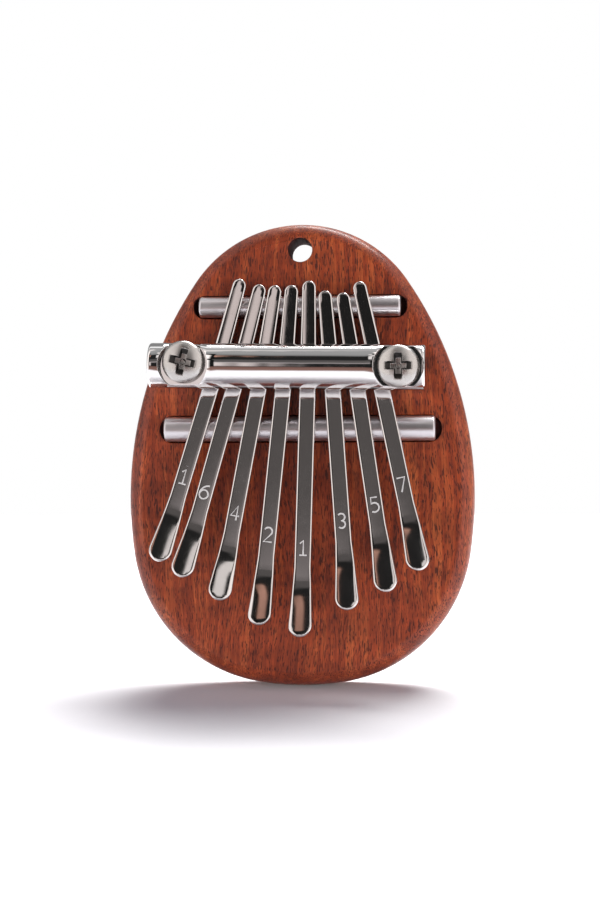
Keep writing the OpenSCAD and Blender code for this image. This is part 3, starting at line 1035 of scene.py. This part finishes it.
def soft_light(name, place, aim, size, power, mirrored=False):
    """A rectangular soft light, wide and deep, that points at the aim."""
    data = bpy.data.lights.new(name, "AREA")
    data.shape = "RECTANGLE"
    data.size, data.size_y = size
    data.energy = power
    lamp = bpy.data.objects.new(name, data)
    bpy.context.collection.objects.link(lamp)
    lamp.location = place
    lamp.rotation_euler = (Vector(aim) - Vector(place)).to_track_quat("-Z", "Y").to_euler()
    lamp.visible_glossy = mirrored
    lamp.visible_camera = False
    return lamp


def floor_material():
    """A plain pale floor that fades to bare white away from the board."""
    material, hand, shader, place = surface("Pale floor")
    grain = hand.noise(place, 0.6, 3.0)
    tone = hand.mix(grain, (0.93, 0.925, 0.935), (0.95, 0.945, 0.955))
    hand.tree.links.new(tone, shader.inputs["Base Color"])
    shader.inputs["Roughness"].default_value = 0.9
    shader.inputs["Specular IOR Level"].default_value = 0.1
    away = hand.add("ShaderNodeVectorMath", operation="LENGTH", inputs={0: place}).outputs["Value"]
    bare, fade = 170.0, 160.0       # millimetres from the hang hole to the fade, and its length
    glow = hand.math("DIVIDE", hand.math("SUBTRACT", away, bare), fade, clamp=True)
    hand.tree.links.new(hand.math("MULTIPLY", glow, 0.35), shader.inputs["Emission Strength"])
    shader.inputs["Emission Color"].default_value = (1, 1, 1, 1)
    return material


def build_stage(settings):
    """The camera, the lights and the floor."""
    aim = Vector(settings.aim)
    flat = math.cos(settings.elevation)
    back = Vector((math.sin(settings.azimuth) * flat, -math.cos(settings.azimuth) * flat,
                   math.sin(settings.elevation)))
    data = bpy.data.cameras.new("Camera")
    data.lens = settings.lens
    data.sensor_fit = "AUTO"
    data.clip_start = 0.01
    data.dof.use_dof = False
    camera = bpy.data.objects.new("Camera", data)
    bpy.context.collection.objects.link(camera)
    camera.location = aim + back * settings.distance
    camera.rotation_euler = (-back).to_track_quat("-Z", "Y").to_euler()
    bpy.context.scene.camera = camera
    low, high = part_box("board")
    edge = bpy.context.scene.mbira_board.edge
    up = Vector((0, -math.sin(settings.lean), math.cos(settings.lean)))
    contact = Vector((0, high[1] - edge, low[2] + edge)) - up * edge
    clear_selection()
    bpy.ops.mesh.primitive_plane_add(size=1)
    floor = added("floor")
    bpy.ops.transform.resize(value=(1.6, 0.43, 1))
    bpy.ops.transform.translate(value=(0, 0.035, 0))
    bpy.ops.object.transform_apply(location=True, rotation=True, scale=True)
    floor.location = contact
    floor.rotation_euler = (settings.lean, 0, 0)
    bpy.ops.object.transform_apply(location=True, rotation=True, scale=True)
    floor.data.materials.append(floor_material())
    studio_world()
    centre = (0, 0, -0.035)
    light = settings.light
    soft_light("Back light", (0.06, 0.25, 0.45), centre, (0.5, 0.2), 3.9 * light)
    soft_light("Strip light", (0.12, 0.155, 0.53), centre, (0.5, 0.1), 3.1 * light, True)
    soft_light("Left light", (-0.5, -0.6, -0.07), centre, (0.4, 0.2), 3.0 * light)
    soft_light("Right light", (0.5, -0.6, -0.06), centre, (0.4, 0.2), 3.9 * light)
    bpy.context.scene.view_settings.view_transform = "Standard"


# ---- operators, panel and registration ----

class MBIRA_OT_stage(bpy.types.Operator):
    """Set up the camera, the lights and the pale floor"""
    bl_idname = "mbira.stage"
    bl_label = "Stage"

    def execute(self, context):
        build_stage(context.scene.mbira_stage)
        return {"FINISHED"}


class MBIRA_OT_board(bpy.types.Operator):
    """Model the egg-shaped wooden board"""
    bl_idname = "mbira.board"
    bl_label = "Board"

    def execute(self, context):
        looks = context.scene.mbira_finishes
        build_board(context.scene.mbira_board, wood_material(looks), shaded_bore_wood(looks.pore_and_bore_shade))
        return {"FINISHED"}


class MBIRA_OT_clamp(bpy.types.Operator):
    """Model the rods, the pressure bar and the two screws"""
    bl_idname = "mbira.clamp"
    bl_label = "Rods, bar and screws"

    def execute(self, context):
        sizes = context.scene.mbira_metal
        looks = context.scene.mbira_finishes
        marks = handling_marks()
        build_rods(sizes, rod_material(looks.satin, marks))
        build_bar(sizes, metal("Plated bar", looks.chrome, 0.035, marks, 0.05, 0.03, 0.1)[0])
        nickel = metal("Nickel screws", looks.nickel, 0.24, marks, 0.12, 0.1)[0]
        # a near-black metal that paints shade on the walls of the cross recesses
        dark = metal("Dull recess", (0.05, 0.047, 0.045), 0.42, marks, 0.2, 0.1)[0]
        build_screw("left_screw", sizes.left_turn, sizes, nickel, dark)
        build_screw("right_screw", 0.0, sizes, nickel, dark)
        return {"FINISHED"}


class MBIRA_OT_tines(bpy.types.Operator):
    """Model the eight tines and their numbers"""
    bl_idname = "mbira.tines"
    bl_label = "Tines"

    def execute(self, context):
        looks = context.scene.mbira_finishes
        marks = handling_marks()
        steel = metal("Spring steel", looks.steel, 0.06, marks, 0.05, 0.05)[0]
        etch = etched_material(looks.etch)
        for index in range(len(TINES)):
            build_tine(index, context.scene.mbira_tines, steel, etch)
        return {"FINISHED"}


class MBIRA_PT_panel(bpy.types.Panel):
    """Lists the steps that build the thumb piano"""
    bl_label = "Thumb piano"
    bl_idname = "MBIRA_PT_panel"
    bl_space_type = "VIEW_3D"
    bl_region_type = "UI"
    bl_category = "Thumb piano"

    def draw(self, context):
        for step in STEPS:
            self.layout.operator(step.bl_idname)


GROUPS = {"mbira_board": BoardSizes, "mbira_metal": MetalSizes, "mbira_tines": TineSizes,
          "mbira_finishes": Finishes, "mbira_stage": StageSettings}
STEPS = (MBIRA_OT_stage, MBIRA_OT_board, MBIRA_OT_clamp, MBIRA_OT_tines)


def register():
    """Registers every class and hangs the property groups on the scene."""
    for group in (*GROUPS.values(), *STEPS, MBIRA_PT_panel):
        bpy.utils.register_class(group)
    for name, group in GROUPS.items():
        setattr(bpy.types.Scene, name, PointerProperty(type=group))


def unregister():
    """Takes everything that register added away again."""
    for name in GROUPS:
        delattr(bpy.types.Scene, name)
    for group in (MBIRA_PT_panel, *reversed(STEPS), *reversed(GROUPS.values())):
        bpy.utils.unregister_class(group)


def main():
    """Registers the add-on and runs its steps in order."""
    register()
    bpy.ops.mbira.stage()
    bpy.ops.mbira.board()
    bpy.ops.mbira.clamp()
    bpy.ops.mbira.tines()


if __name__ == "__main__":
    main()
